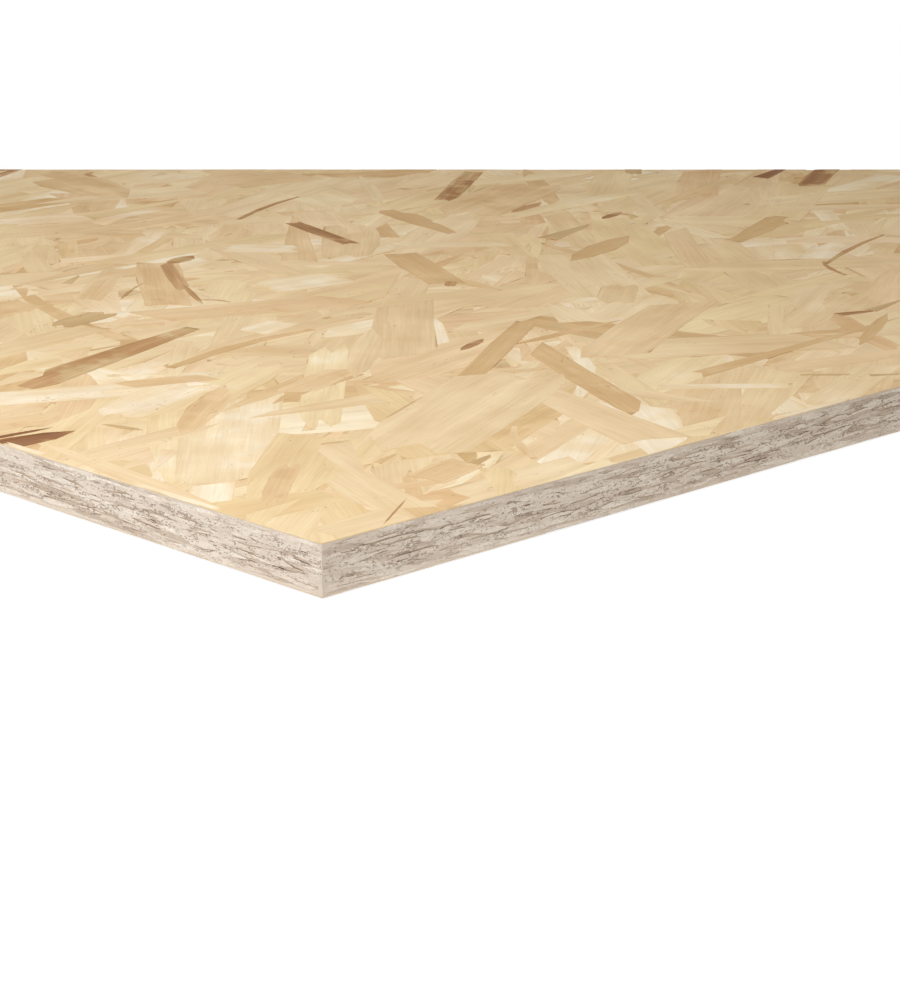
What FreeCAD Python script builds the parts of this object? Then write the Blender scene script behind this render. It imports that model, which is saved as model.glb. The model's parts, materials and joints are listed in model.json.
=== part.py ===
"""OSB board: one square-edged structural sheet of oriented strand board, lying flat.

The sheet is a single hot-pressed and sawn piece, so it is one solid. Its frame has the
origin at the middle of the underside, +X along the length, +Y across the width and +Z up
through the thickness. All sizes are in millimetres.
"""

import FreeCAD
import Part
import Sketcher
import os
import sys

PARTS_FOLDER = "parts"

# The driving dimensions: alias, value, what it is.
DRIVING_DIMENSIONS = [
    ("sheet_length", 2440.0, "long side of the trimmed sheet"),
    ("sheet_width", 1220.0, "short side of the trimmed sheet"),
    ("sheet_thickness", 18.0, "nominal thickness after pressing and sanding"),
    ("arris_break", 0.4, "small flat left on every sawn arris"),
]


def add_dimensions(doc):
    """Puts the driving dimensions in a spreadsheet, one aliased cell each."""
    sheet = doc.addObject("Spreadsheet::Sheet", "dimensions")
    for row, (alias, value, meaning) in enumerate(DRIVING_DIMENSIONS, start=1):
        sheet.set(f"A{row}", alias)
        sheet.set(f"B{row}", str(value))
        sheet.set(f"C{row}", meaning)
        sheet.setAlias(f"B{row}", alias)
    doc.recompute()
    return sheet


def origin_plane(body, role):
    """One of the body's own origin planes, found by its role."""
    return next(item for item in body.Origin.OriginFeatures if item.Role == role)


def draw_outline(body):
    """The trimmed outline: a rectangle centred on the origin, on the underside."""
    sketch = body.newObject("Sketcher::SketchObject", "sheet_outline")
    sketch.AttachmentSupport = [(origin_plane(body, "XY_Plane"), "")]
    sketch.MapMode = "FlatFace"

    corners = [
        FreeCAD.Vector(-1, -1, 0),
        FreeCAD.Vector(1, -1, 0),
        FreeCAD.Vector(1, 1, 0),
        FreeCAD.Vector(-1, 1, 0),
    ]
    sides = len(corners)
    for index in range(sides):
        start, end = corners[index], corners[(index + 1) % sides]
        sketch.addGeometry(Part.LineSegment(start, end), False)

    start_point, end_point = 1, 2
    root_point = -1
    front, right, back, left = range(sides)
    for index in range(sides):
        following = (index + 1) % sides
        sketch.addConstraint(
            Sketcher.Constraint("Coincident", index, end_point, following, start_point)
        )
    sketch.addConstraint(
        [
            Sketcher.Constraint("Horizontal", front),
            Sketcher.Constraint("Horizontal", back),
            Sketcher.Constraint("Vertical", right),
            Sketcher.Constraint("Vertical", left),
            Sketcher.Constraint(
                "Symmetric", front, start_point, back, start_point, root_point, 1
            ),
        ]
    )
    length = sketch.addConstraint(
        Sketcher.Constraint("DistanceX", front, start_point, front, end_point, 2.0)
    )
    width = sketch.addConstraint(
        Sketcher.Constraint("DistanceY", right, start_point, right, end_point, 2.0)
    )
    sketch.setExpression(f"Constraints[{length}]", "dimensions.sheet_length")
    sketch.setExpression(f"Constraints[{width}]", "dimensions.sheet_width")
    return sketch


def press_sheet(body, outline):
    """Pads the outline up to the sheet's thickness."""
    pad = body.newObject("PartDesign::Pad", "pressed_sheet")
    pad.Profile = outline
    pad.setExpression("Length", "dimensions.sheet_thickness")
    outline.Visibility = False
    return pad


def break_arrises(body, pad):
    """Takes the sharpness off all twelve sawn arrises."""
    chamfer = body.newObject("PartDesign::Chamfer", "broken_arrises")
    chamfer.Base = (pad, [])
    chamfer.UseAllEdges = True
    chamfer.setExpression("Size", "dimensions.arris_break")
    return chamfer


def make_osb_panel(doc):
    """The whole sheet as one body."""
    body = doc.addObject("PartDesign::Body", "osb_panel")
    body.Label = "osb_panel"
    outline = draw_outline(body)
    doc.recompute()
    pad = press_sheet(body, outline)
    doc.recompute()
    chamfer = break_arrises(body, pad)
    body.Tip = chamfer
    body.Placement = FreeCAD.Placement()
    return body


def check_document(doc, bodies):
    """Stops before anything is written if a feature failed or a solid isn't sound."""
    failed = [
        item.Name
        for item in doc.Objects
        if any(state in ("Invalid", "Error") for state in item.State)
    ]
    if failed:
        sys.exit(f"these objects failed to recompute: {failed}")
    for body in bodies:
        if body.Shape.isNull() or not body.Shape.isValid() or not body.Shape.Solids:
            sys.exit(f"{body.Label} has no valid solid")


def write_parts(bodies):
    """Writes each body to parts/LABEL.step."""
    os.makedirs(PARTS_FOLDER, exist_ok=True)
    for body in bodies:
        body.Shape.exportStep(os.path.join(PARTS_FOLDER, f"{body.Label}.step"))
        box = body.Shape.BoundBox
        print(
            f"{body.Label}: {box.XLength:.2f} x {box.YLength:.2f} x {box.ZLength:.2f} mm,"
            f" volume {body.Shape.Volume / 1e9:.6f} m3"
        )


def main():
    doc = FreeCAD.newDocument("osb_board")
    add_dimensions(doc)
    bodies = [make_osb_panel(doc)]
    doc.recompute()
    check_document(doc, bodies)
    write_parts(bodies)


main()
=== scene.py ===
import json
import math
import random

import bmesh
import bpy
from mathutils import Matrix, Vector

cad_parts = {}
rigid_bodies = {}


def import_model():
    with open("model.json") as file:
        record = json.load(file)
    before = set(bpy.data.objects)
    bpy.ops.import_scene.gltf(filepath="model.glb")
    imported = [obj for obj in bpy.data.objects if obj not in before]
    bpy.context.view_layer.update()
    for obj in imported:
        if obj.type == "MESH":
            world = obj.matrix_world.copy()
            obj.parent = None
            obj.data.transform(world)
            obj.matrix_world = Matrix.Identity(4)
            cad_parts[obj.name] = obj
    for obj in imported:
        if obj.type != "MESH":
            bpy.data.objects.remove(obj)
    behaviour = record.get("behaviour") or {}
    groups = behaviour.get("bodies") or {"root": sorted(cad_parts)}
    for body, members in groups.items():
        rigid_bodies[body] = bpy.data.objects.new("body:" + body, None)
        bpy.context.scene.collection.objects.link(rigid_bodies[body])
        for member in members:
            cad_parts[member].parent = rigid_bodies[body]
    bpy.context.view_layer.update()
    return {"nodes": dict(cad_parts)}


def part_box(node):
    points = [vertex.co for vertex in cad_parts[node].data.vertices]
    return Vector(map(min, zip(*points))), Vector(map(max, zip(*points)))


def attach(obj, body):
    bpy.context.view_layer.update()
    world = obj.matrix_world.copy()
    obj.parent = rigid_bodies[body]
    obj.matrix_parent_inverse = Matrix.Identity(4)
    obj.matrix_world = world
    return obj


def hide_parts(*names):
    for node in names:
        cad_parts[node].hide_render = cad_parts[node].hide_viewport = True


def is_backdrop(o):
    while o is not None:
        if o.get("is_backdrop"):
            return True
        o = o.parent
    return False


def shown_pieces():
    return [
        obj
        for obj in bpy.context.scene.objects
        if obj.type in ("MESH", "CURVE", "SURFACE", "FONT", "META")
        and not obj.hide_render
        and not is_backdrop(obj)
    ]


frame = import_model()
print("frame loaded:", sorted(frame["nodes"]))

mm = 0.001
sheetLow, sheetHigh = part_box("osb_panel")

# the sheet itself: what is modelled on each face and how deep the sawn sides are modelled
sheet = {
    "faceBed": 0.42 * mm,      # loose strands lying on the upper and lower face
    "sawnDepth": 1.3 * mm,     # how far the sawn strand ends reach in
    "arris": 0.4 * mm,         # flat on every sawn corner
    "overhang": 45 * mm,       # strands are laid this far past the saw line, then cut
}


def length():
    return sheetHigh.x - sheetLow.x


def width():
    return sheetHigh.y - sheetLow.y


def thickness():
    return sheetHigh.z - sheetLow.z


def linear(red, green, blue):
    # screen values 0-255 to the linear colour a socket takes
    def one(value):
        value = value / 255
        return value / 12.92 if value <= 0.04045 else ((value + 0.055) / 1.055) ** 2.4
    return (one(red), one(green), one(blue), 1.0)


# ---- small helpers for node trees, used by shaders and geometry alike

def plug(tree, socket, value):
    if isinstance(value, bpy.types.NodeSocket):
        tree.links.new(value, socket)
    else:
        socket.default_value = value


def addNode(tree, kind, settings=None, values=None):
    made = tree.nodes.new(kind)
    for key, value in (settings or {}).items():
        setattr(made, key, value)
    for key, value in (values or {}).items():
        plug(tree, made.inputs[key], value)
    return made


def reckon(tree, operation, *values):
    made = addNode(tree, "ShaderNodeMath", {"operation": operation})
    for socket, value in zip(made.inputs, values):
        plug(tree, socket, value)
    return made.outputs[0]


def reckonVector(tree, operation, *values):
    made = addNode(tree, "ShaderNodeVectorMath", {"operation": operation})
    for socket, value in zip(made.inputs, values):
        plug(tree, socket, value)
    return made.outputs[0]


def remap(tree, value, fromLow, fromHigh, toLow, toHigh):
    made = addNode(tree, "ShaderNodeMapRange", {"clamp": True})
    for socket, number in zip(made.inputs, (value, fromLow, fromHigh, toLow, toHigh)):
        plug(tree, socket, number)
    return made.outputs[0]


def noise(tree, place, scale, detail=2.0, rough=0.5):
    made = addNode(tree, "ShaderNodeTexNoise", {"noise_dimensions": "3D"},
                   {"Vector": place, "Scale": scale, "Detail": detail, "Roughness": rough})
    return made.outputs[0]


def newSockets(tree, inputs, outputs):
    for name, kind in inputs:
        tree.interface.new_socket(name=name, in_out="INPUT", socket_type=kind)
    for name, kind in outputs:
        tree.interface.new_socket(name=name, in_out="OUTPUT", socket_type=kind)
    return tree.nodes.new("NodeGroupInput").outputs, tree.nodes.new("NodeGroupOutput").inputs


def newCollection(name, objects):
    made = bpy.data.collections.new(name)
    for item in objects:
        made.objects.link(item)
    return made


# ---- strand blanks: outlines one unit long and wide, pulled to size where they are laid

blankOutlines = {
    "square": [(-.50, -.44), (-.10, -.50), (.30, -.47), (.49, -.42), (.47, .02),
               (.50, .40), (.10, .50), (-.30, .46), (-.48, .45), (-.46, -.05)],
    "oblique": [(-.36, -.50), (.10, -.47), (.50, -.48), (.44, -.10), (.36, .46),
                (.00, .50), (-.40, .44), (-.50, .30), (-.46, -.05)],
    "pointed": [(-.50, -.06), (-.30, -.38), (.00, -.50), (.28, -.40), (.50, .05),
                (.30, .38), (.02, .50), (-.30, .36)],
    "wedge": [(-.50, -.50), (-.05, -.42), (.30, -.25), (.50, -.02), (.20, .18),
              (-.10, .36), (-.48, .50), (-.45, .10)],
    "notched": [(-.50, -.30), (-.42, -.50), (.10, -.42), (.50, -.30), (.48, .10),
                (.12, .34), (-.28, .50), (-.33, .22), (-.49, .16)],
    "bowed": [(-.50, -.50), (-.20, -.18), (.15, -.10), (.50, -.42), (.49, -.10),
              (.20, .42), (-.10, .50), (-.36, .18), (-.50, -.10)],
    "torn": [(-.42, -.50), (.20, -.48), (.42, -.44), (.50, -.28), (.38, -.06), (.48, .16),
             (.35, .50), (-.20, .47), (-.36, .40), (-.50, .12), (-.37, -.04), (-.47, -.26)],
}
sliverOutline = [(-.50, .00), (-.22, -.42), (.20, -.50), (.50, -.06), (.20, .42), (-.22, .50)]


def makeBlank(name, outline):
    # a prism from z 0 to z 1; blankPlace remembers where on the strand each corner is
    count = len(outline)
    corners = [(x, y, 0) for x, y in outline] + [(x, y, 1) for x, y in outline]
    sides = [(i, (i + 1) % count, count + (i + 1) % count, count + i) for i in range(count)]
    under = tuple(reversed(range(count)))
    over = tuple(range(count, 2 * count))
    mesh = bpy.data.meshes.new(name)
    mesh.from_pydata(corners, [], [under, over] + sides)
    place = mesh.attributes.new("blankPlace", "FLOAT_VECTOR", "POINT")
    place.data.foreach_set("vector", [c for x, y, z in corners for c in (x, y, 1.0)])
    return bpy.data.objects.new(name, mesh)


def jitter(outline, dice, alongBy, acrossBy):
    return [(x + dice.uniform(-alongBy, alongBy), y + dice.uniform(-acrossBy, acrossBy))
            for x, y in outline]


def makeBlanks():
    dice = random.Random(41)
    faceBlanks, edgeBlanks = [], []
    for number, (kind, outline) in enumerate(blankOutlines.items()):
        turned = [(-x, -y) for x, y in outline]
        for letter, shape in (("a", outline), ("b", turned)):
            faceBlanks.append(makeBlank(f"blank{number:02d}{letter}", jitter(shape, dice, .015, .03)))
    for number in range(8):
        edgeBlanks.append(makeBlank(f"sliver{number:02d}", jitter(sliverOutline, dice, .06, .08)))
    return newCollection("faceBlanks", faceBlanks), newCollection("edgeBlanks", edgeBlanks)


def blankNumber(kind):
    return 2 * list(blankOutlines).index(kind)


# ---- colours: each tone's share of the strands, from the darkest to the palest

faceTones = [
    ("umber", 0.004, (150, 106, 78)),
    ("russet", 0.006, (166, 124, 84)),
    ("brown", 0.008, (198, 154, 109)),
    ("olive", 0.012, (208, 180, 134)),
    ("tan", 0.030, (219, 184, 135)),
    ("rose", 0.070, (232, 200, 155)),
    ("sand", 0.110, (234, 205, 161)),
    ("straw", 0.180, (237, 210, 167)),
    ("honey", 0.240, (240, 214, 172)),
    ("butter", 0.190, (242, 218, 177)),
    ("cream", 0.110, (246, 224, 186)),
    ("milk", 0.040, (250, 233, 203)),
]
edgeTones = [
    ("bark", 0.05, (214, 196, 178)),
    ("dust", 0.20, (234, 219, 203)),
    ("grey", 0.35, (241, 227, 211)),
    ("pale", 0.28, (245, 232, 216)),
    ("chalk", 0.12, (249, 238, 223)),
]


def toneSpots(tones):
    # the middle of each tone's share, so that an even draw from 0 to 1 keeps the shares
    total = sum(share for _, share, _ in tones)
    spots, reached = {}, 0.0
    for name, share, _ in tones:
        spots[name] = (reached + share / 2) / total
        reached += share
    return spots


def toneRamp(tree, tone, tones):
    made = addNode(tree, "ShaderNodeValToRGB", {}, {"Fac": tone})
    ramp = made.color_ramp
    spots = toneSpots(tones)
    while len(ramp.elements) < len(tones):
        ramp.elements.new(0.5)
    for element, (name, _, colour) in zip(ramp.elements, tones):
        element.position = spots[name]
    for element, (name, _, colour) in zip(ramp.elements, tones):
        element.color = linear(*colour)
    return made.outputs[0]


# ---- shader groups

def buildGrainGroup():
    # soft bands and fine lines that run along a strand, dark specks, and the relief they leave
    tree = bpy.data.node_groups.new("strandGrain", "ShaderNodeTree")
    inputs, outputs = newSockets(
        tree,
        [("Place", "NodeSocketVector"), ("Along", "NodeSocketFloat"), ("Across", "NodeSocketFloat"),
         ("Speck Size", "NodeSocketFloat"), ("Speck Share", "NodeSocketFloat")],
        [("Bands", "NodeSocketFloat"), ("Lines", "NodeSocketFloat"), ("Specks", "NodeSocketFloat"),
         ("Relief", "NodeSocketFloat")])
    stretch = addNode(tree, "ShaderNodeCombineXYZ", {},
                      {"X": inputs["Along"], "Y": inputs["Across"], "Z": 37.0})
    place = reckonVector(tree, "MULTIPLY", inputs["Place"], stretch.outputs[0])
    lines = noise(tree, place, 1.0, 3.0, 0.65)
    bands = noise(tree, reckonVector(tree, "MULTIPLY", place, (0.45, 0.12, 1.0)), 1.0, 2.0, 0.5)
    perSpeck = reckon(tree, "DIVIDE", 1.0, inputs["Speck Size"])
    speckScale = addNode(tree, "ShaderNodeCombineXYZ", {},
                         {"X": reckon(tree, "MULTIPLY", perSpeck, 0.5), "Y": perSpeck, "Z": 53.0})
    speckPlace = reckonVector(tree, "MULTIPLY", inputs["Place"], speckScale.outputs[0])
    speck = noise(tree, speckPlace, 1.0, 2.0, 0.6)
    crowd = noise(tree, reckonVector(tree, "MULTIPLY", speckPlace, (0.12, 0.12, 1.0)), 1.0, 1.0)
    both = reckon(tree, "ADD", speck, reckon(tree, "MULTIPLY", crowd, 0.6))
    start = reckon(tree, "SUBTRACT", 1.12, inputs["Speck Share"])
    specks = remap(tree, both, start, reckon(tree, "ADD", start, 0.05), 0.0, 1.0)
    relief = reckon(tree, "SUBTRACT", lines, reckon(tree, "MULTIPLY", specks, 0.8))
    plug(tree, outputs["Bands"], bands)
    plug(tree, outputs["Lines"], lines)
    plug(tree, outputs["Specks"], specks)
    plug(tree, outputs["Relief"], relief)
    return tree


def newMaterial(name, roughness, specular):
    material = bpy.data.materials.new(name)
    material.use_nodes = True
    tree = material.node_tree
    shader = tree.nodes["Principled BSDF"]
    shader.inputs["Roughness"].default_value = roughness
    shader.inputs["Specular IOR Level"].default_value = specular
    return material, tree, shader


def scaled(tree, colour, factor, warmth):
    # darker wood is warmer too: blue falls off faster than red
    red = reckon(tree, "POWER", factor, 1 - warmth)
    blue = reckon(tree, "POWER", factor, 1 + 1.3 * warmth)
    grey = addNode(tree, "ShaderNodeCombineColor", {}, {"Red": red, "Green": factor, "Blue": blue})
    made = addNode(tree, "ShaderNodeMix", {"data_type": "RGBA", "blend_type": "MULTIPLY"})
    plug(tree, made.inputs[0], 1.0)
    plug(tree, made.inputs[6], colour)
    plug(tree, made.inputs[7], grey.outputs[0])
    return made.outputs[2]


def blended(tree, amount, first, second):
    made = addNode(tree, "ShaderNodeMix", {"data_type": "RGBA", "blend_type": "MIX"})
    plug(tree, made.inputs[0], amount)
    plug(tree, made.inputs[6], first)
    plug(tree, made.inputs[7], second)
    return made.outputs[2]


def readAttribute(tree, name, output):
    return addNode(tree, "ShaderNodeAttribute", {"attribute_name": name}).outputs[output]


def placeGrain(tree, grain, opts):
    made = addNode(tree, "ShaderNodeGroup", {"node_tree": grain},
                   {"Place": readAttribute(tree, "grainSpace", "Vector"),
                    "Along": opts["along"], "Across": opts["across"],
                    "Speck Size": opts["speckSize"], "Speck Share": opts["speckShare"]})
    return made.outputs


def around(tree, value, amount):
    # a noise value turned into a factor of 1 plus or minus the amount
    return remap(tree, value, 0.30, 0.70, 1 - amount, 1 + amount)


def product(tree, *values):
    total = values[0]
    for value in values[1:]:
        total = reckon(tree, "MULTIPLY", total, value)
    return total


hueStep = 7.31      # turns a strand's figure into its hue


def tinted(tree, colour, amount, tint):
    made = addNode(tree, "ShaderNodeMix", {"data_type": "RGBA", "blend_type": "MULTIPLY"})
    plug(tree, made.inputs[0], amount)
    plug(tree, made.inputs[6], colour)
    plug(tree, made.inputs[7], (*tint, 1.0))
    return made.outputs[2]


def strandHue(tree, colour, amount):
    # each strand leans a little to rose or to yellow, by its own number
    number = addNode(tree, "ShaderNodeSeparateXYZ", {}, {0: readAttribute(tree, "grainSpace", "Vector")})
    drawn = reckon(tree, "FRACT", reckon(tree, "MULTIPLY", number.outputs[2], hueStep))
    rosy = remap(tree, drawn, 0.55, 1.0, 0.0, amount)
    yellow = remap(tree, drawn, 0.45, 0.0, 0.0, amount)
    colour = tinted(tree, colour, rosy, (1.0, 0.93, 0.90))
    return tinted(tree, colour, yellow, (0.985, 0.975, 0.87))


faceFinish = {
    "roughness": 0.62,
    "gloss": 0.02,
    "along": 30.0,          # lines to the metre, along and across the strand
    "across": 900.0,
    "bands": 0.085,
    "lines": 0.07,
    "darkGrain": 2.0,       # how much stronger the grain of the brown strands is
    "speckSize": 1.1 * mm,
    "speckShare": 0.07,
    "specks": 0.55,
    "hue": 0.65,
    "warmth": 0.30,         # how much warmer the darker grain is
    "bump": 0.25,
    "bumpDepth": 0.15 * mm,
    "rim": 0.05,            # how much darker a strand is at its own edge
    "crackShade": 0.36,          # and where its edge has lifted: painted shade of the gap below it
    "mottle": 0.045,         # slow change over the whole face
    "drift": 0.8,           # how far a pale strand's tone wanders
    "brownDrift": 0.12,     # and a brown one's
    "darkestDrift": 0.07,   # a pale strand never wanders below this tone
    "fade": 0.6,           # how far a strand's rim takes on the tone of the bed
    "brownFade": 0.035,     # the same of a brown strand, as a share of that
    "bedTone": 0.56,
    "driftScale": 30.0,
}


def makeFaceMaterial(grain):
    opts = faceFinish
    material, tree, shader = newMaterial("strandFace", opts["roughness"], opts["gloss"])
    tone = readAttribute(tree, "tone", "Fac")
    onSheet = addNode(tree, "ShaderNodeTexCoord").outputs["Object"]
    # pale strands change tone within themselves, so that neighbours run into each other
    drift = reckon(tree, "SUBTRACT", noise(tree, onSheet, opts["driftScale"], 4.0, 0.6), 0.5)
    drift = product(tree, drift, remap(tree, tone, 0.03, 0.12, opts["brownDrift"], opts["drift"]))
    wandered = reckon(tree, "MAXIMUM", reckon(tree, "ADD", tone, drift),
                      reckon(tree, "MINIMUM", tone, opts["darkestDrift"]))
    # towards its rim a strand is thin and takes on the tone of the bed
    place = addNode(tree, "ShaderNodeSeparateXYZ", {}, {0: readAttribute(tree, "blankPlace", "Vector")})
    rim = reckon(tree, "MAXIMUM", reckon(tree, "ABSOLUTE", place.outputs[0]),
                 reckon(tree, "ABSOLUTE", place.outputs[1]))
    thin = product(tree, remap(tree, rim, 0.34, 0.50, 0.0, opts["fade"]),
                   remap(tree, noise(tree, onSheet, 24.0, 3.0), 0.40, 0.60, 0.2, 1.0),
                   remap(tree, tone, 0.05, 0.16, opts["brownFade"], 1.0))
    wandered = reckon(tree, "MULTIPLY_ADD", thin, reckon(tree, "SUBTRACT", opts["bedTone"], wandered), wandered)
    colour = toneRamp(tree, wandered, faceTones)
    colour = strandHue(tree, colour, opts["hue"])
    marks = placeGrain(tree, grain, opts)
    rimmed = remap(tree, rim, 0.40, 0.50, 1.0, 1 - opts["rim"])
    # a thin dark line inside the rim where the edge has lifted is painted shade of the gap below it
    lifted = remap(tree, noise(tree, onSheet, 38.0, 2.0), 0.54, 0.64, 0.0, opts["crackShade"])
    crackShaded = reckon(tree, "SUBTRACT", 1.0, product(tree, remap(tree, rim, 0.462, 0.485, 0.0, 1.0), lifted))
    mottled = product(tree, around(tree, noise(tree, onSheet, 8.0, 2.0), opts["mottle"]),
                      around(tree, noise(tree, onSheet, 42.0, 3.0), opts["mottle"]))
    grained = product(tree, around(tree, marks["Bands"], opts["bands"]),
                      around(tree, marks["Lines"], opts["lines"]))
    grained = reckon(tree, "POWER", grained, remap(tree, tone, 0.006, 0.03, 1 + opts["darkGrain"], 1.0))
    colour = scaled(tree, colour, product(tree, grained, rimmed, crackShaded, mottled), opts["warmth"])
    specks = product(tree, marks["Specks"], opts["specks"])
    colour = blended(tree, specks, colour, linear(168, 128, 88))
    plug(tree, shader.inputs["Base Color"], colour)
    bump = addNode(tree, "ShaderNodeBump", {}, {"Strength": opts["bump"], "Distance": opts["bumpDepth"],
                                                "Height": marks["Relief"]})
    plug(tree, shader.inputs["Normal"], bump.outputs[0])
    return material


edgeFinish = {
    "roughness": 0.85,
    "gloss": 0.02,
    "along": 420.0,
    "across": 1700.0,
    "bands": 0.06,
    "lines": 0.12,
    # the dark specks on the sawn sides stand for small voids: their darkness is painted shade
    "speckSize": 0.62 * mm,
    "speckShare": 0.24,
    "specks": 0.60,
    "warmth": 0.15,
    "bump": 0.5,
    "bumpDepth": 0.2 * mm,
    "middle": 0.04,         # how much darker the middle layers are
}


def middleLayer(tree):
    # 0 at the faces, 1 half way through the thickness
    onSheet = addNode(tree, "ShaderNodeTexCoord").outputs["Object"]
    height = addNode(tree, "ShaderNodeSeparateXYZ", {}, {0: onSheet}).outputs[2]
    half = thickness() / 2
    offMiddle = reckon(tree, "ABSOLUTE", reckon(tree, "SUBTRACT", height, sheetLow.z + half))
    return remap(tree, offMiddle, half * 0.55, half * 0.85, 1.0, 0.0)


def makeEdgeMaterial(grain):
    opts = edgeFinish
    material, tree, shader = newMaterial("sawnStrands", opts["roughness"], opts["gloss"])
    colour = toneRamp(tree, readAttribute(tree, "tone", "Fac"), edgeTones)
    marks = placeGrain(tree, grain, opts)
    inside = middleLayer(tree)
    depth = remap(tree, inside, 0.0, 1.0, 1.0, 1 - opts["middle"])
    colour = scaled(tree, colour, product(tree, around(tree, marks["Bands"], opts["bands"]),
                                          around(tree, marks["Lines"], opts["lines"]), depth), opts["warmth"])
    # dark specks, more of them in the middle layers: painted shade of small voids in the sawn side
    specks = product(tree, marks["Specks"], opts["specks"], remap(tree, inside, 0.0, 1.0, 0.35, 1.0))
    colour = blended(tree, specks, colour, linear(132, 104, 84))
    plug(tree, shader.inputs["Base Color"], colour)
    bump = addNode(tree, "ShaderNodeBump", {}, {"Strength": opts["bump"], "Distance": opts["bumpDepth"],
                                                "Height": marks["Relief"]})
    plug(tree, shader.inputs["Normal"], bump.outputs[0])
    return material


heartFinish = {
    "roughness": 0.9,
    "gloss": 0.1,
    "light": (226, 200, 158),
    "dark": (206, 176, 134),
    "sawn": (231, 216, 199),   # seen down the gaps in the sawn sides
    "patch": 60.0,
}


def makeHeartMaterial():
    # what shows between the strands: the layers below
    opts = heartFinish
    material, tree, shader = newMaterial("pressedHeart", opts["roughness"], opts["gloss"])
    onSheet = addNode(tree, "ShaderNodeTexCoord").outputs["Object"]
    patches = noise(tree, onSheet, opts["patch"], 4.0, 0.6)
    colour = blended(tree, remap(tree, patches, 0.35, 0.65, 0.0, 1.0), linear(*opts["dark"]),
                     linear(*opts["light"]))
    height = addNode(tree, "ShaderNodeSeparateXYZ", {}, {0: onSheet}).outputs[2]
    middle = sheetLow.z + thickness() / 2
    offMiddle = reckon(tree, "ABSOLUTE", reckon(tree, "SUBTRACT", height, middle))
    half = thickness() / 2 - sheet["faceBed"]
    sawn = remap(tree, offMiddle, half - 0.1 * mm, half - 0.02 * mm, 1.0, 0.0)
    colour = blended(tree, sawn, colour, linear(*opts["sawn"]))
    plug(tree, shader.inputs["Base Color"], colour)
    bump = addNode(tree, "ShaderNodeBump", {}, {"Strength": 0.5, "Distance": 0.3 * mm, "Height": patches})
    plug(tree, shader.inputs["Normal"], bump.outputs[0])
    return material


# ---- geometry trees

def storeOnPoints(tree, points, name, value, kind="FLOAT"):
    made = addNode(tree, "GeometryNodeStoreNamedAttribute", {"data_type": kind, "domain": "POINT"},
                   {"Geometry": points, "Name": name, "Value": value})
    return made.outputs[0]


def named(tree, name, kind="FLOAT"):
    return addNode(tree, "GeometryNodeInputNamedAttribute", {"data_type": kind}, {"Name": name}).outputs[0]


def chance(tree, seed, offset, least=0.0, most=1.0):
    made = addNode(tree, "FunctionNodeRandomValue", {"data_type": "FLOAT"},
                   {2: least, 3: most, "Seed": reckon(tree, "ADD", seed, offset)})
    return made.outputs[1]


def buildLayStrands():
    # lays one blank on each point, pulled to the size that the point's own values give
    tree = bpy.data.node_groups.new("layStrands", "GeometryNodeTree")
    inputs, outputs = newSockets(
        tree,
        [("Points", "NodeSocketGeometry"), ("Blanks", "NodeSocketCollection"),
         ("Turn", "NodeSocketVector"), ("Seat", "NodeSocketVector"), ("Finish", "NodeSocketMaterial")],
        [("Geometry", "NodeSocketGeometry")])
    blanks = addNode(tree, "GeometryNodeCollectionInfo", {},
                     {"Collection": inputs["Blanks"], "Separate Children": True, "Reset Children": True})
    size = addNode(tree, "ShaderNodeCombineXYZ", {},
                   {"X": named(tree, "strandLength"), "Y": named(tree, "strandWidth"),
                    "Z": named(tree, "strandHeight")})
    lean = addNode(tree, "ShaderNodeCombineXYZ", {},
                   {"X": named(tree, "strandRoll"), "Y": named(tree, "strandPitch"),
                    "Z": named(tree, "strandAngle")})
    turn = addNode(tree, "FunctionNodeEulerToRotation", {}, {0: lean.outputs[0]})
    laid = addNode(tree, "GeometryNodeInstanceOnPoints", {},
                   {"Points": inputs["Points"], "Instance": blanks.outputs[0], "Pick Instance": True,
                    "Instance Index": named(tree, "strandBlank", "INT"), "Rotation": turn.outputs[0],
                    "Scale": size.outputs[0]})
    solid = addNode(tree, "GeometryNodeRealizeInstances", {}, {"Geometry": laid.outputs[0]}).outputs[0]
    span = addNode(tree, "ShaderNodeCombineXYZ", {},
                   {"X": named(tree, "strandLength"), "Y": named(tree, "strandWidth"),
                    "Z": named(tree, "strandFigure")})
    along = reckonVector(tree, "MULTIPLY", named(tree, "blankPlace", "FLOAT_VECTOR"), span.outputs[0])
    solid = storeOnPoints(tree, solid, "grainSpace", along, "FLOAT_VECTOR")
    turned = addNode(tree, "FunctionNodeEulerToRotation", {}, {0: inputs["Turn"]})
    seated = addNode(tree, "GeometryNodeTransform", {},
                     {"Geometry": solid, "Translation": inputs["Seat"], "Rotation": turned.outputs[0]})
    finished = addNode(tree, "GeometryNodeSetMaterial", {},
                       {"Geometry": seated.outputs[0], "Material": inputs["Finish"]})
    plug(tree, outputs["Geometry"], finished.outputs[0])
    return tree


commonInputs = [("Geometry", "NodeSocketGeometry"), ("Blanks", "NodeSocketCollection"),
                ("Turn", "NodeSocketVector"), ("Seat", "NodeSocketVector"),
                ("Finish", "NodeSocketMaterial")]


def layInTree(tree, layStrands, points, inputs):
    laid = addNode(tree, "GeometryNodeGroup", {"node_tree": layStrands},
                   {"Points": points, "Blanks": inputs["Blanks"], "Turn": inputs["Turn"],
                    "Seat": inputs["Seat"], "Finish": inputs["Finish"]})
    return laid.outputs[0]


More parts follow.
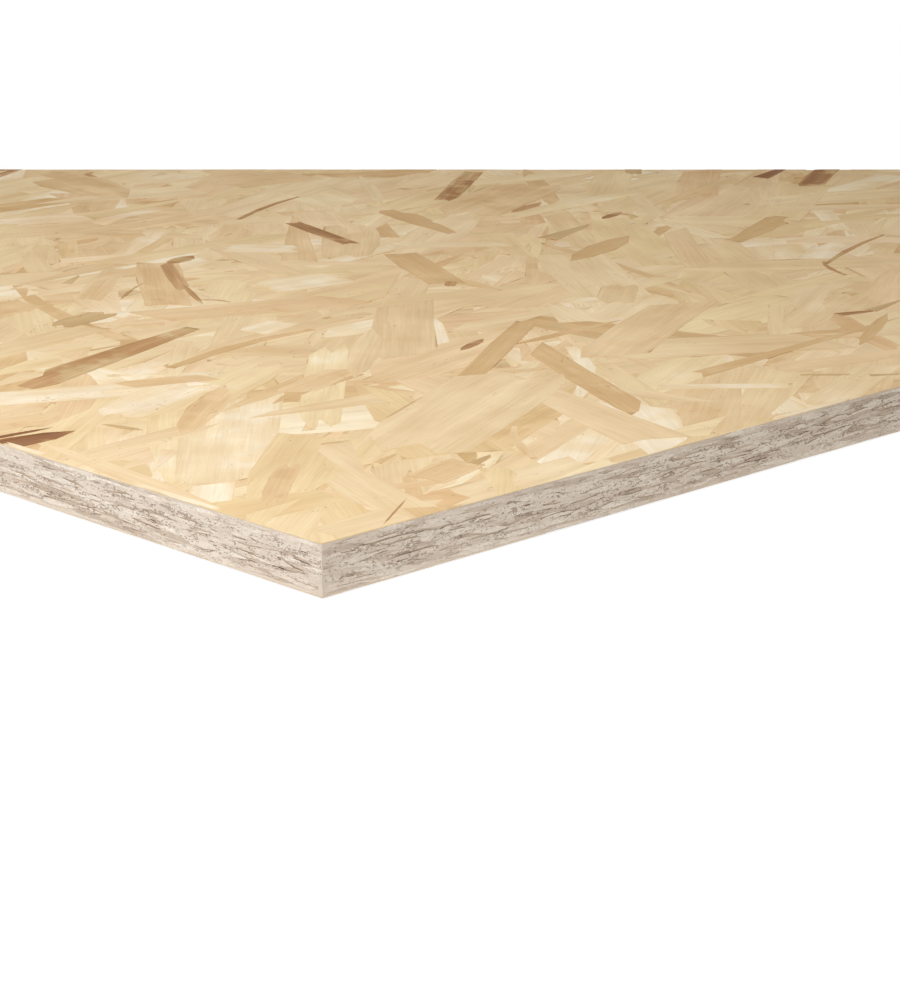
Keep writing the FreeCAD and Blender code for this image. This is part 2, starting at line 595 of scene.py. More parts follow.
def buildStrandBed(layStrands):
    # strands strewn over a patch, most of them roughly along the sheet
    tree = bpy.data.node_groups.new("strandBed", "GeometryNodeTree")
    inputs, outputs = newSockets(
        tree,
        commonInputs + [("Spacing", "NodeSocketFloat"), ("Shortest", "NodeSocketFloat"),
                        ("Longest", "NodeSocketFloat"), ("Narrowest", "NodeSocketFloat"),
                        ("Widest", "NodeSocketFloat"), ("Lay Angle", "NodeSocketFloat"),
                        ("Lay Spread", "NodeSocketFloat"), ("Bed Height", "NodeSocketFloat"),
                        ("Darkest", "NodeSocketFloat"), ("Kinds", "NodeSocketInt"),
                        ("Seed", "NodeSocketInt")],
        [("Geometry", "NodeSocketGeometry")])
    seed = inputs["Seed"]
    gap = inputs["Spacing"]
    density = reckon(tree, "DIVIDE", 2.2, reckon(tree, "MULTIPLY", gap, gap))
    strewn = addNode(tree, "GeometryNodeDistributePointsOnFaces", {"distribute_method": "POISSON"},
                     {"Mesh": inputs["Geometry"], "Distance Min": gap, "Density Max": density,
                      "Density Factor": 1.0, "Seed": seed})
    points = strewn.outputs["Points"]
    points = storeOnPoints(tree, points, "strandLength",
                           chance(tree, seed, 1, inputs["Shortest"], inputs["Longest"]))
    slim = reckon(tree, "POWER", chance(tree, seed, 2), 1.25)
    wide = reckon(tree, "SUBTRACT", inputs["Widest"], inputs["Narrowest"])
    points = storeOnPoints(tree, points, "strandWidth",
                           reckon(tree, "MULTIPLY_ADD", slim, wide, inputs["Narrowest"]))
    # three even draws added up: close to a bell curve one unit wide
    drawn = reckon(tree, "ADD", chance(tree, seed, 3, -1.0, 1.0),
                   reckon(tree, "ADD", chance(tree, seed, 4, -1.0, 1.0), chance(tree, seed, 5, -1.0, 1.0)))
    points = storeOnPoints(tree, points, "strandAngle",
                           reckon(tree, "MULTIPLY_ADD", drawn, inputs["Lay Spread"], inputs["Lay Angle"]))
    level = reckon(tree, "MULTIPLY", inputs["Bed Height"], chance(tree, seed, 6, 0.22, 0.80))
    points = storeOnPoints(tree, points, "strandHeight", level)
    points = storeOnPoints(tree, points, "strandPitch", chance(tree, seed, 7, -0.0004, 0.0004))
    points = storeOnPoints(tree, points, "strandRoll", chance(tree, seed, 8, -0.002, 0.002))
    points = storeOnPoints(tree, points, "tone", chance(tree, seed, 9, inputs["Darkest"], 1.0))
    points = storeOnPoints(tree, points, "strandFigure", chance(tree, seed, 10, 0.0, 40.0))
    kind = reckon(tree, "FLOOR", reckon(tree, "MULTIPLY", chance(tree, seed, 11, 0.0, 0.9999), inputs["Kinds"]))
    points = storeOnPoints(tree, points, "strandBlank", kind, "INT")
    plug(tree, outputs["Geometry"], layInTree(tree, layStrands, points, inputs))
    return tree


def buildChosenStrands(layStrands):
    # one strand on each vertex, from the values stored on it
    tree = bpy.data.node_groups.new("chosenStrands", "GeometryNodeTree")
    inputs, outputs = newSockets(tree, commonInputs, [("Geometry", "NodeSocketGeometry")])
    points = addNode(tree, "GeometryNodeMeshToPoints", {}, {"Mesh": inputs["Geometry"]}).outputs[0]
    plug(tree, outputs["Geometry"], layInTree(tree, layStrands, points, inputs))
    return tree


def buildSliverStack(layStrands):
    # sawn strand ends in wavy layers; the patch comes squeezed lengthways and is stretched here,
    # so that an even scatter becomes long thin rows
    tree = bpy.data.node_groups.new("sliverStack", "GeometryNodeTree")
    inputs, outputs = newSockets(
        tree,
        commonInputs + [("Stretch", "NodeSocketFloat"), ("Spacing", "NodeSocketFloat"),
                        ("Shortest", "NodeSocketFloat"), ("Longest", "NodeSocketFloat"),
                        ("Thinnest", "NodeSocketFloat"), ("Thickest", "NodeSocketFloat"),
                        ("Sway", "NodeSocketFloat"), ("Sway Length", "NodeSocketFloat"),
                        ("Half Height", "NodeSocketFloat"), ("Depth", "NodeSocketFloat"),
                        ("Void Share", "NodeSocketFloat"), ("Kinds", "NodeSocketInt"),
                        ("Seed", "NodeSocketInt")],
        [("Geometry", "NodeSocketGeometry")])
    seed = inputs["Seed"]
    gap = inputs["Spacing"]
    density = reckon(tree, "DIVIDE", 2.2, reckon(tree, "MULTIPLY", gap, gap))
    strewn = addNode(tree, "GeometryNodeDistributePointsOnFaces", {"distribute_method": "POISSON"},
                     {"Mesh": inputs["Geometry"], "Distance Min": gap, "Density Max": density,
                      "Density Factor": 1.0, "Seed": seed})
    position = addNode(tree, "GeometryNodeInputPosition").outputs[0]
    stretch = addNode(tree, "ShaderNodeCombineXYZ", {}, {"X": inputs["Stretch"], "Y": 1.0, "Z": 1.0})
    points = addNode(tree, "GeometryNodeSetPosition", {},
                     {"Geometry": strewn.outputs["Points"],
                      "Position": reckonVector(tree, "MULTIPLY", position, stretch.outputs[0])}).outputs[0]
    # the layers rise and dip together, least near the two faces
    perMetre = reckon(tree, "DIVIDE", 1.0, inputs["Sway Length"])
    waveScale = addNode(tree, "ShaderNodeCombineXYZ", {},
                        {"X": perMetre, "Y": reckon(tree, "MULTIPLY", perMetre, 2.5), "Z": 1.0})
    shift = addNode(tree, "ShaderNodeCombineXYZ", {}, {"Z": reckon(tree, "MULTIPLY", seed, 3.7)})

    def wave(nudge):
        moved = reckonVector(tree, "ADD", position, (nudge, 0.0, 0.0))
        place = reckonVector(tree, "ADD", reckonVector(tree, "MULTIPLY", moved, waveScale.outputs[0]),
                             shift.outputs[0])
        return reckon(tree, "SUBTRACT", noise(tree, place, 1.0, 2.0, 0.5), 0.5)

    height = addNode(tree, "ShaderNodeSeparateXYZ", {}, {0: position}).outputs[1]
    offMiddle = reckon(tree, "DIVIDE", reckon(tree, "ABSOLUTE", height), inputs["Half Height"])
    calm = remap(tree, offMiddle, 0.45, 1.0, 1.0, 0.0)
    sway = reckon(tree, "MULTIPLY", reckon(tree, "MULTIPLY", inputs["Sway"], 2.0), calm)
    nudge = 2 * mm
    slope = reckon(tree, "DIVIDE", reckon(tree, "SUBTRACT", wave(nudge), wave(-nudge)), 2 * nudge)
    slope = reckon(tree, "MULTIPLY", slope, sway)
    loose = reckon(tree, "MULTIPLY", chance(tree, seed, 3, -0.10, 0.10), calm)
    points = storeOnPoints(tree, points, "strandAngle", reckon(tree, "ADD", slope, loose))
    voidPlace = reckonVector(tree, "ADD", reckonVector(tree, "MULTIPLY", position, (230.0, 700.0, 1.0)),
                             shift.outputs[0])
    hollow = reckon(tree, "MULTIPLY", noise(tree, voidPlace, 1.0, 1.0), calm)
    limit = reckon(tree, "SUBTRACT", 0.80, inputs["Void Share"])
    empty = addNode(tree, "FunctionNodeCompare", {"data_type": "FLOAT", "operation": "GREATER_THAN"},
                    {0: hollow, 1: limit})
    kept = addNode(tree, "GeometryNodeDeleteGeometry", {"domain": "POINT"},
                   {"Geometry": points, "Selection": empty.outputs[0]}).outputs[0]
    points = storeOnPoints(tree, kept, "strandLength",
                           chance(tree, seed, 1, inputs["Shortest"], inputs["Longest"]))
    points = storeOnPoints(tree, points, "strandWidth",
                           chance(tree, seed, 2, inputs["Thinnest"], inputs["Thickest"]))
    points = storeOnPoints(tree, points, "strandHeight",
                           reckon(tree, "MULTIPLY", inputs["Depth"], chance(tree, seed, 6, 0.90, 1.0)))
    points = storeOnPoints(tree, points, "strandPitch", 0.0)
    points = storeOnPoints(tree, points, "strandRoll", 0.0)
    points = storeOnPoints(tree, points, "tone", chance(tree, seed, 9))
    points = storeOnPoints(tree, points, "strandFigure", chance(tree, seed, 10, 0.0, 40.0))
    kind = reckon(tree, "FLOOR", reckon(tree, "MULTIPLY", chance(tree, seed, 11, 0.0, 0.9999), inputs["Kinds"]))
    points = storeOnPoints(tree, points, "strandBlank", kind, "INT")
    lift = addNode(tree, "ShaderNodeCombineXYZ", {}, {"Y": reckon(tree, "MULTIPLY", wave(0.0), sway)})
    points = addNode(tree, "GeometryNodeSetPosition", {},
                     {"Geometry": points, "Offset": lift.outputs[0]}).outputs[0]
    plug(tree, outputs["Geometry"], layInTree(tree, layStrands, points, inputs))
    return tree


def runTree(name, mesh, tree, values):
    # evaluates the tree on the mesh and returns the result as a plain mesh
    carrier = bpy.data.objects.new(name + "Carrier", mesh)
    bpy.context.scene.collection.objects.link(carrier)
    modifier = carrier.modifiers.new(name, "NODES")
    modifier.node_group = tree
    for socket in tree.interface.items_tree:
        if socket.in_out == "INPUT" and socket.name in values:
            modifier[socket.identifier] = values[socket.name]
    depsgraph = bpy.context.evaluated_depsgraph_get()
    made = bpy.data.meshes.new_from_object(carrier.evaluated_get(depsgraph),
                                           preserve_all_data_layers=True, depsgraph=depsgraph)
    bpy.data.objects.remove(carrier)
    bpy.data.meshes.remove(mesh)
    made.name = name
    return made


def patchMesh(xLow, xHigh, yLow, yHigh, z=0.0):
    mesh = bpy.data.meshes.new("patch")
    mesh.from_pydata([(xLow, yLow, z), (xHigh, yLow, z), (xHigh, yHigh, z), (xLow, yHigh, z)], [],
                     [(0, 1, 2, 3)])
    return mesh


# ---- the saw

sawRagged = 0.04 * mm



def sawPlanes(withArrises):
    middle = (sheetLow + sheetHigh) / 2
    planes = []
    for axis in (0, 1):
        for side in (-1, 1):
            outward = Vector((0, 0, 0))
            outward[axis] = side
            point = middle.copy()
            point[axis] = (sheetLow if side < 0 else sheetHigh)[axis]
            planes.append((point, outward, 1))
            if withArrises:
                for upDown in (-1, 1):
                    corner = point.copy()
                    corner.z = sheetLow.z if upDown < 0 else sheetHigh.z
                    corner[axis] -= side * sheet["arris"]
                    planes.append((corner, (outward + Vector((0, 0, upDown))).normalized(), 0))
    return planes


def sawToSheet(mesh, planes):
    # cuts everything off at the planes and closes what was cut
    solid = bmesh.new()
    solid.from_mesh(mesh)
    for point, outward, capFinish in planes:
        everything = solid.verts[:] + solid.edges[:] + solid.faces[:]
        cut = bmesh.ops.bisect_plane(solid, geom=everything, dist=1e-7, plane_co=point,
                                     plane_no=outward, clear_outer=True)
        rim = [item for item in cut["geom_cut"] if isinstance(item, bmesh.types.BMEdge)]
        caps = bmesh.ops.holes_fill(solid, edges=rim, sides=0)["faces"]
        figure = solid.verts.layers.float_vector["grainSpace"]
        for cap in caps:
            cap.normal_update()
            cap.material_index = capFinish
            if cap.normal.dot(outward) < 0:
                cap.normal_flip()
            # strands that overlap are pulled back unevenly, or their cut ends would share one plane
            pulled = outward * sawRagged * (cap.verts[0][figure].z * hueStep % 1)
            for corner in cap.verts:
                corner.co -= pulled
    solid.to_mesh(mesh)
    solid.free()


def keepPiece(name, mesh, materials):
    for attribute in [a.name for a in mesh.attributes if a.name.startswith("strand")]:
        mesh.attributes.remove(mesh.attributes[attribute])
    if len(mesh.materials) == 0 or mesh.materials[0] is None:
        mesh.materials.clear()
        mesh.materials.append(materials[0])
    for material in materials[1:]:
        mesh.materials.append(material)
    piece = bpy.data.objects.new(name, mesh)
    bpy.context.scene.collection.objects.link(piece)
    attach(piece, "root")
    return piece


# ---- camera: low over the nearest corner, looking across the sheet

camera = {
    "aside": Vector((-565.6, -636.1, 258.4)) * mm,   # from the nearest upper corner of the sheet
    "azimuth": 44.28,                                # degrees, from +Y towards +X
    "down": 16.06,
    "lens": 104.8,
    "sensor": 36.0,
    "reach": 1543 * mm,                              # the view ends here, part way across the sheet
}


def makeCamera():
    opts = camera
    corner = Vector((sheetLow.x, sheetLow.y, sheetHigh.z))
    turn, down = math.radians(opts["azimuth"]), math.radians(opts["down"])
    ahead = Vector((math.sin(turn) * math.cos(down), math.cos(turn) * math.cos(down), -math.sin(down)))
    data = bpy.data.cameras.new("sheetCamera")
    data.lens = opts["lens"]
    data.sensor_width = opts["sensor"]
    data.clip_start = 10 * mm
    data.clip_end = opts["reach"]
    view = bpy.data.objects.new("sheetCamera", data)
    view.location = corner + opts["aside"]
    view.rotation_euler = ahead.to_track_quat("-Z", "Y").to_euler()
    bpy.context.scene.collection.objects.link(view)
    bpy.context.scene.camera = view


# ---- room: white all round, a soft lamp over the nearest corner and a wide one over the rest

room = {
    "ambient": 0.30,
    "ambientTint": (1.0, 0.93, 0.80, 1.0),
    "lampTint": (0.98, 1.0, 1.05),
    "floorSize": 80.0,
    "floorGap": 0.3 * mm,
}
lamps = {
    # place and aim from the nearest upper corner of the sheet, shape, size, power, spread in degrees
    "cornerLamp": (Vector((-417, -164, 1033)) * mm, Vector((-462, 822, 0)) * mm,
                   "DISK", (450 * mm, 450 * mm), 14.6, 180),
    "wideLamp": (Vector((1950, 640, 1500)) * mm, Vector((1950, 640, 0)) * mm,
                 "RECTANGLE", (1700 * mm, 1500 * mm), 3.0, 35),
}


def makeLamp(name, place, aim, shape, size, power, spread):
    corner = Vector((sheetLow.x, sheetLow.y, sheetHigh.z))
    data = bpy.data.lights.new(name, "AREA")
    data.shape = shape
    data.size, data.size_y = size
    data.energy = power
    data.color = room["lampTint"]
    data.spread = math.radians(spread)
    lamp = bpy.data.objects.new(name, data)
    lamp.location = corner + place
    lamp.rotation_euler = (aim - place).to_track_quat("-Z", "Y").to_euler()
    bpy.context.scene.collection.objects.link(lamp)


def makeRoom():
    opts = room
    world = bpy.data.worlds.new("studio")
    bpy.context.scene.world = world
    world.use_nodes = True
    tree = world.node_tree
    tree.nodes.clear()
    rays = addNode(tree, "ShaderNodeLightPath").outputs
    seen = reckon(tree, "MAXIMUM", rays["Is Camera Ray"],
                  reckon(tree, "MAXIMUM", rays["Is Glossy Ray"], rays["Is Transmission Ray"]))
    strength = remap(tree, seen, 0.0, 1.0, opts["ambient"], 1.0)
    tint = blended(tree, seen, opts["ambientTint"], (1.0, 1.0, 1.0, 1.0))
    back = addNode(tree, "ShaderNodeBackground", {}, {"Color": tint, "Strength": strength})
    out = addNode(tree, "ShaderNodeOutputWorld", {}, {"Surface": back.outputs[0]})

    for name, setting in lamps.items():
        makeLamp(name, *setting)

    half = opts["floorSize"] / 2
    mesh = patchMesh(-half, half, -half, half, sheetLow.z - opts["floorGap"])
    floor = bpy.data.objects.new("floor", mesh)
    material = bpy.data.materials.new("floorWhite")
    material.use_nodes = True
    tree = material.node_tree
    shader = tree.nodes["Principled BSDF"]
    shader.inputs["Base Color"].default_value = (0.88, 0.88, 0.88, 1)
    shader.inputs["Roughness"].default_value = 1.0
    shader.inputs["Specular IOR Level"].default_value = 0.0
    rays = addNode(tree, "ShaderNodeLightPath").outputs
    seen = reckon(tree, "MAXIMUM", rays["Is Camera Ray"],
                  reckon(tree, "MAXIMUM", rays["Is Glossy Ray"], rays["Is Transmission Ray"]))
    # what is seen of the floor is nearly white by itself, and shadow still shows on the rest
    shaded = addNode(tree, "ShaderNodeBsdfDiffuse", {}, {"Color": (0.20, 0.20, 0.20, 1)})
    glow = addNode(tree, "ShaderNodeEmission", {}, {"Color": (1, 1, 1, 1), "Strength": 0.86})
    both = addNode(tree, "ShaderNodeAddShader", {}, {0: shaded.outputs[0], 1: glow.outputs[0]})
    mixed = addNode(tree, "ShaderNodeMixShader", {}, {0: seen, 1: shader.outputs[0], 2: both.outputs[0]})
    plug(tree, tree.nodes["Material Output"].inputs["Surface"], mixed.outputs[0])
    mesh.materials.append(material)
    bpy.context.scene.collection.objects.link(floor)
    floor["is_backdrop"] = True
    bpy.context.scene.view_settings.view_transform = "Standard"


makeCamera()
makeRoom()
print("camera and room ready")


# ---- the faces

faceBed = {
    "topStrips": 12,
    "bottomStrips": 8,
    "topSpacing": 12.5 * mm,
    "bottomSpacing": 17.5 * mm,
    "shortest": 62 * mm,
    "longest": 134 * mm,
    "narrowest": 8 * mm,
    "widest": 40 * mm,
    "layAngle": 22.0,       # degrees off the long side
    "laySpread": 30.0,
    "darkest": (0.0, 0.03), # tone of the darkest strands strewn on the lower and the upper face
    "strayBrown": 170,      # brown strands strewn on the upper face beyond the marked ones
    "markedReach": (640 * mm, 560 * mm),
}


def layFace(name, strips, spacing, onTop, trees, blanks, finishes, seed):
    opts = faceBed
    over = sheet["overhang"]
    planes = sawPlanes(True)
    step = (width() + 2 * over) / strips
    for number in range(strips):
        # counted from the side nearest the camera
        yLow = sheetLow.y - over + number * step
        patch = patchMesh(sheetLow.x - over, sheetHigh.x + over, yLow, yLow + step)
        if onTop:
            turn, seat = (0.0, 0.0, 0.0), (0.0, 0.0, sheetHigh.z - sheet["faceBed"])
        else:
            # the patch is laid mirrored in y, so that the half turn brings it back to its own place
            patch.transform(Matrix.Translation((0, -(2 * yLow + step), 0)))
            turn, seat = (math.pi, 0.0, 0.0), (0.0, 0.0, sheetLow.z + sheet["faceBed"])
        mesh = runTree(f"{name}{number + 1}", patch, trees["strandBed"], {
            "Blanks": blanks, "Turn": turn, "Seat": seat, "Finish": finishes[0], "Spacing": spacing,
            "Shortest": opts["shortest"], "Longest": opts["longest"], "Narrowest": opts["narrowest"],
            "Widest": opts["widest"], "Lay Angle": math.radians(opts["layAngle"]),
            "Lay Spread": math.radians(opts["laySpread"]), "Bed Height": sheet["faceBed"],
            "Darkest": opts["darkest"][onTop], "Kinds": 2 * len(blankOutlines),
            "Seed": seed + 20 * number})
        sawToSheet(mesh, planes)
        keepPiece(f"{name}{number + 1}", mesh, finishes)
    print(name, "laid")


# strands worth telling apart, in millimetres from the nearest corner: start along the long side and
# up the short side, end, width, tone, outline
markedStrands = {
    "longBrown": (54, 226, 163, 261, 17, "brown", "notched"),
    "tanBar": (176, 117, 267, 173, 10.5, "tan", "square"),
    "slimTan": (188, 38, 240, 146, 13, "tan", "oblique"),
    "arrisRed": (-22, 166, 29, 160, 13, "umber", "pointed"),
    "arrisDark": (-8, 174, 26, 170, 3, "umber", "pointed"),
    "sandWedge": (158, 158, 103, 142, 11, "tan", "wedge"),
    "sandPatch": (118, 150, 162, 164, 15, "sand", "oblique"),
    "milkStrip": (20, 226, 114, 176, 22, "milk", "oblique"),
    "milkPatch": (48, 168, 104, 187, 24, "milk", "torn"),
    "apricotStrip": (50, 130, 111, 176, 13, "rose", "pointed"),
    "brownStreak": (112, 214, 196, 226, 9, "tan", "bowed"),
    "rosePatch": (80, 203, 116, 189, 12, "rose", "oblique"),
    "goldStrip": (186, 160, 262, 240, 26, "sand", "oblique"),
    "goldSide": (150, 150, 215, 208, 12, "straw", "pointed"),
    "tanWedge": (138, 121, 84, 132, 14, "sand", "wedge"),
    "broadPale": (88, 60, 205, 112, 46, "honey", "torn"),
    "squareTan": (72, 30, 98, 36, 17, "rose", "square"),
    "oliveChip": (97, 33, 110, 37, 5, "olive", "wedge"),
    "goldThread": (116, 24, 143, 60, 5, "sand", "bowed"),
    # a thin brown strand on the dark line of a crack at the front arris: painted shade of the crack
    "arrisCrackShade": (27, 1.5, 53, 18, 0.9, "brown", "pointed"),
    "ochreStreak": (16, 43, 54, 76, 9, "rose", "torn"),
    "brownChip": (75, 56, 89, 61, 3.5, "rose", "wedge"),
    "greyChip": (41, 162, 46, 145, 3.5, "olive", "pointed"),
    "darkShadow": (211, 155, 233, 163, 4.5, "russet", "pointed"),
    "milkSquare": (172, 236, 198, 242, 17, "milk", "torn"),
    "slimRust": (234, 148, 298, 148, 5, "tan", "pointed"),
    "strawCover": (245, 118, 335, 62, 32, "straw", "oblique"),
    "broadRose": (240, 106, 348, 156, 27, "rose", "oblique"),
    "arrisBrown": (330, 52, 386, 80, 6, "tan", "pointed"),
    "rustSpot": (368, 93, 388, 87, 6, "russet", "wedge"),
    "oliveSpot": (384, 88, 412, 93, 5.5, "olive", "wedge"),
    "tanStreak": (246, 64, 384, 72, 8, "tan", "wedge"),
    "hookFoot": (434, 142, 451, 168, 4, "brown", "bowed"),
    "hookStalk": (448, 164, 521, 188, 4.5, "brown", "bowed"),
    "lilacPatch": (318, 172, 350, 196, 17, "sand", "torn"),
    "smallBar": (275, 37, 289, 24, 2.5, "olive", "square"),
    "arrisSpot": (293, 18, 304, 11, 3, "olive", "wedge"),
    "paleSlip": (222, 62, 260, 28, 8, "cream", "square"),
    "roseFlake": (181, 298, 236, 374, 22, "rose", "square"),
    "brownStrip": (206, 318, 240, 374, 7, "brown", "oblique"),
    "brownTip": (237, 368, 258, 374, 9, "brown", "pointed"),
    "thread": (177, 325, 203, 343, 2, "brown", "bowed"),
    "brownTail": (194, 291, 215, 331, 3, "brown", "pointed"),
    "brownKnot": (200, 299, 206, 287, 3, "brown", "bowed"),
    "oliveBrown": (124, 300, 156, 306, 14, "olive", "torn"),
    "smallRust": (178, 364, 194, 376, 4.5, "brown", "wedge"),
    "darkBar": (327, 344, 343, 404, 9, "russet", "square"),
    "darkBarFar": (435, 395, 507, 446, 12, "russet", "square"),
    "ochreBar": (296, 249, 328, 313, 18, "tan", "square"),
    "rustTip": (294, 246, 302, 252, 5, "brown", "torn"),
    "creamSlip": (336, 330, 382, 292, 13, "cream", "oblique"),
    "tanPatch": (458, 226, 504, 236, 9, "tan", "wedge"),
    "brownSpot": (456, 307, 478, 313, 5, "russet", "pointed"),
    "oliveStreak": (400, 290, 442, 302, 10, "olive", "wedge"),
    "amberStreak": (370, 247, 435, 268, 14, "tan", "pointed"),
    "brownSmudge": (436, 349, 468, 358, 6, "brown", "pointed"),
    "broadTan": (412, 362, 505, 398, 40, "rose", "torn"),
    "stalk": (330, 430, 392, 456, 5, "brown", "bowed"),
    "creamPatch": (278, 380, 302, 352, 20, "milk", "torn"),
    "oliveBar": (400, 196, 464, 268, 14, "sand", "oblique"),
    "orangeBrown": (598, 294, 652, 324, 14, "russet", "oblique"),
    "farTan": (385, 515, 440, 500, 38, "rose", "oblique"),
    "farDark": (562, 382, 576, 395, 9, "olive", "torn"),
    "farRust": (600, 328, 644, 344, 9, "umber", "wedge"),
    "palePatch": (232, 300, 275, 292, 28, "cream", "torn"),
    "leftFluff": (1.2, 48, 1.2, 96, 3, "milk", "torn"),
    "farLeftFluff": (1.2, 142, 1.2, 165, 3.5, "milk", "torn"),
    "frontFluff": (218, 1, 262, 1, 3, "milk", "torn"),
}


def strayBrownStrands(dice):
    # the same sort of brown strands, few and far between, over the rest of the face
    strays = []
    while len(strays) < faceBed["strayBrown"]:
        x, y = dice.uniform(0, length()), dice.uniform(0, width())
        if x < faceBed["markedReach"][0] and y < faceBed["markedReach"][1]:
            continue
        run, turn = dice.uniform(10, 75) ** 1.05, math.radians(dice.gauss(22, 38))
        ends = [x / mm - run / 2 * math.cos(turn), y / mm - run / 2 * math.sin(turn),
                x / mm + run / 2 * math.cos(turn), y / mm + run / 2 * math.sin(turn)]
        tone = dice.choice(("russet", "brown", "brown", "olive", "olive", "tan", "tan", "tan"))
        strays.append((*ends, min(run * 0.5, dice.uniform(6, 17)), tone, dice.choice(list(blankOutlines))))
    return strays


def layMarkedStrands(tree, blanks, finishes):
    dice = random.Random(17)
    spots = toneSpots(faceTones)
    strands = list(markedStrands.values())
    centres, columns = [], {key: [] for key in ("strandLength", "strandWidth", "strandAngle",
                                               "strandHeight", "strandPitch", "strandRoll", "tone",
                                               "strandFigure")}
    kinds = []
    strands += strayBrownStrands(dice)
    # later ones lie on top of earlier ones
    levels = [0.86 + 0.12 * i / len(strands) for i in range(len(strands))]
    for level, (startX, startY, endX, endY, wide, tone, outline) in zip(levels, strands):
        start = Vector((startX, startY)) * mm
        end = Vector((endX, endY)) * mm
        centre = (start + end) / 2
        run = end - start
        centres.append((sheetLow.x + centre.x, sheetLow.y + centre.y, 0.0))
        columns["strandLength"].append(run.length)
        columns["strandWidth"].append(wide * mm)
        columns["strandAngle"].append(math.atan2(run.y, run.x))
        columns["strandHeight"].append(sheet["faceBed"] * level)
        columns["strandPitch"].append(0.0)
        columns["strandRoll"].append(0.0)
        columns["tone"].append(spots[tone])
        # a figure whose hue lies half way between rose and yellow
        columns["strandFigure"].append((dice.randrange(280) + 0.5) / hueStep)
        kinds.append(blankNumber(outline))
    mesh = bpy.data.meshes.new("markedStrands")
    mesh.from_pydata(centres, [], [])
    for key, values in columns.items():
        mesh.attributes.new(key, "FLOAT", "POINT").data.foreach_set("value", values)
    mesh.attributes.new("strandBlank", "INT", "POINT").data.foreach_set("value", kinds)
    laid = runTree("markedStrands", mesh, tree, {
        "Blanks": blanks, "Turn": (0.0, 0.0, 0.0),
        "Seat": (0.0, 0.0, sheetHigh.z - sheet["faceBed"]), "Finish": finishes[0]})
    sawToSheet(laid, sawPlanes(True))
    keepPiece("markedStrands", laid, finishes)
    print("marked strands laid:", len(strands))


# ---- the sawn sides

sawnStack = {
    "stretch": 22.0,
    "spacing": 0.60 * mm,
    "shortest": 12 * mm,
    "longest": 32 * mm,
    "thinnest": 0.9 * mm,
    "thickest": 2.1 * mm,
    "sway": 0.9 * mm,
    "swayLength": 38 * mm,
    "voidShare": 0.10,
    "cornerGap": 0.16 * mm,
}


def layEdge(name, run, turn, seat, trees, blanks, finish, seed):
    opts = sawnStack
    half = (thickness() - 2 * sheet["faceBed"]) / 2
    reach = (run / 2 + sheet["overhang"] / 2) / opts["stretch"]
    inset = opts["thinnest"] / 2
    patch = patchMesh(-reach, reach, -half + inset, half - inset)
    mesh = runTree(name, patch, trees["sliverStack"], {
        "Blanks": blanks, "Turn": turn, "Seat": seat, "Finish": finish, "Stretch": opts["stretch"],
        "Spacing": opts["spacing"], "Shortest": opts["shortest"], "Longest": opts["longest"],
        "Thinnest": opts["thinnest"], "Thickest": opts["thickest"], "Sway": opts["sway"],
        "Sway Length": opts["swayLength"], "Half Height": half, "Depth": sheet["sawnDepth"],
        "Void Share": opts["voidShare"], "Kinds": 8, "Seed": seed})
    # cut a little short of the neighbouring sides, so that two stacks never end in one plane
    planes = [(point - outward * opts["cornerGap"], outward, 0) for point, outward, _ in sawPlanes(False)
              if abs(outward.dot(Matrix.Rotation(turn[2], 3, "Z") @ Vector((1, 0, 0)))) > 0.5]
    for upDown, level in ((-1, sheetLow.z), (1, sheetHigh.z)):
        edge = level - upDown * sheet["faceBed"] * 0.9
        planes.append((Vector((0, 0, edge)), Vector((0, 0, upDown)), 0))
    sawToSheet(mesh, planes)
    keepPiece(name, mesh, [finish])
    print(name, "laid")


def layEdges(trees, blanks, finish):
    middle = (sheetLow + sheetHigh) / 2
    deep = sheet["sawnDepth"]
    quarter = math.pi / 2
    layEdge("frontEdge", length(), (quarter, 0, 0),
            (middle.x, sheetLow.y + deep, middle.z), trees, blanks, finish, 301)
    layEdge("backEdge", length(), (quarter, 0, 2 * quarter),
            (middle.x, sheetHigh.y - deep, middle.z), trees, blanks, finish, 337)
    layEdge("leftEnd", width(), (quarter, 0, -quarter),
            (sheetLow.x + deep, middle.y, middle.z), trees, blanks, finish, 373)
    layEdge("rightEnd", width(), (quarter, 0, quarter),
            (sheetHigh.x - deep, middle.y, middle.z), trees, blanks, finish, 409)


# ---- the heart: the pressed inside, with pitted sides where strands were torn out

heart = {
    "pitStep": 7 * mm,
    "pitRows": 8,
    "pitDepth": 0.5 * mm,
    "cornerInset": 0.02 * mm,
}


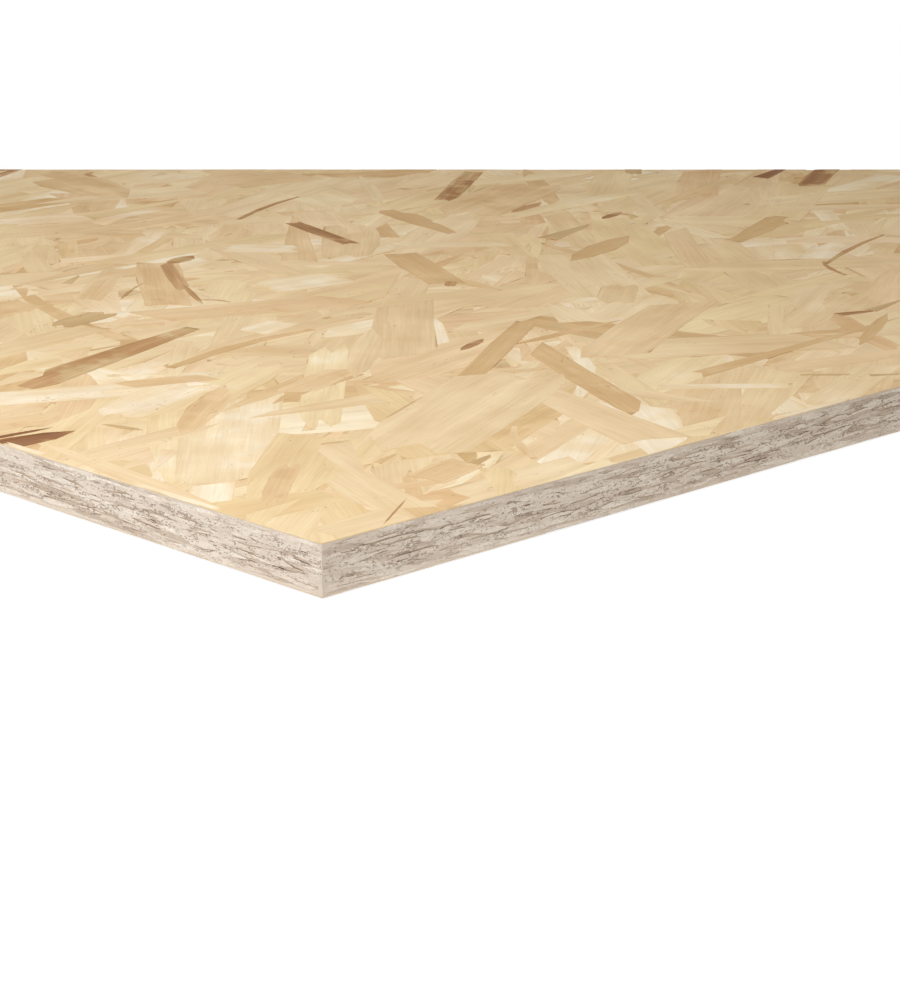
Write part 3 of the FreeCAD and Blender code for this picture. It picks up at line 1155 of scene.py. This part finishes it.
def makeHeart(material):
    opts = heart
    dice = random.Random(5)
    inset = sheet["sawnDepth"] * 0.22
    zLow = sheetLow.z + sheet["faceBed"] 
    zHigh = sheetHigh.z - sheet["faceBed"]
    corners = [(sheetLow.x + inset, sheetLow.y + inset), (sheetHigh.x - inset, sheetLow.y + inset),
               (sheetHigh.x - inset, sheetHigh.y - inset), (sheetLow.x + inset, sheetHigh.y - inset)]
    outline = []
    for number, start in enumerate(corners):
        end = corners[(number + 1) % 4]
        run = Vector(end) - Vector(start)
        steps = round(run.length / opts["pitStep"])
        inward = Vector((-run.y, run.x)).normalized()
        for i in range(steps):
            outline.append((Vector(start) + run * i / steps, inward, i == 0))
    rows = []
    solid = bmesh.new()
    for row in range(opts["pitRows"] + 1):
        z = zLow + (zHigh - zLow) * row / opts["pitRows"]
        ring = []
        for place, inward, isCorner in outline:
            if isCorner:
                # the heart fills the corners, where the sawn stacks stop short
                out = Vector((math.copysign(1, place.x), math.copysign(1, place.y)))
                place = place + out * (inset - opts["cornerInset"])
            pit = opts["pitDepth"] * dice.random() ** 2
            if isCorner or row in (1, opts["pitRows"] - 1):
                pit = 0
            elif row in (0, opts["pitRows"]):
                # next to the faces the layers are pressed tight, out to the saw line
                pit = opts["cornerInset"] - inset
            spot = place + inward * pit
            ring.append(solid.verts.new((spot.x, spot.y, z)))
        rows.append(ring)
    for lower, upper in zip(rows, rows[1:]):
        for i in range(len(lower)):
            j = (i + 1) % len(lower)
            solid.faces.new((lower[i], lower[j], upper[j], upper[i]))
    solid.faces.new(list(reversed(rows[0])))
    solid.faces.new(rows[-1])
    mesh = bpy.data.meshes.new("pressedHeart")
    solid.to_mesh(mesh)
    solid.free()
    piece = keepPiece("pressedHeart", mesh, [material])
    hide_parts("osb_panel")
    print("heart made")


faceBlanks, edgeBlanks = makeBlanks()
grainGroup = buildGrainGroup()
faceMaterial = makeFaceMaterial(grainGroup)
edgeMaterial = makeEdgeMaterial(grainGroup)
layStrands = buildLayStrands()
trees = {"strandBed": buildStrandBed(layStrands), "chosenStrands": buildChosenStrands(layStrands),
         "sliverStack": buildSliverStack(layStrands)}
print("materials and node trees ready")

faceFinishes = [faceMaterial, edgeMaterial]
layFace("topStrands", faceBed["topStrips"], faceBed["topSpacing"], True, trees, faceBlanks,
        faceFinishes, 1000)
layMarkedStrands(trees["chosenStrands"], faceBlanks, faceFinishes)
layEdges(trees, edgeBlanks, edgeMaterial)
layFace("bottomStrands", faceBed["bottomStrips"], faceBed["bottomSpacing"], False, trees, faceBlanks,
        faceFinishes, 5000)
makeHeart(makeHeartMaterial())

for store in (faceBlanks, edgeBlanks):
    for blank in list(store.objects):
        bpy.data.objects.remove(blank)
    bpy.data.collections.remove(store)

triangles = 0
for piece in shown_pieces():
    count = sum(len(face.vertices) - 2 for face in piece.data.polygons)
    triangles += count
    print(piece.name, count)
print("triangles in all:", triangles)
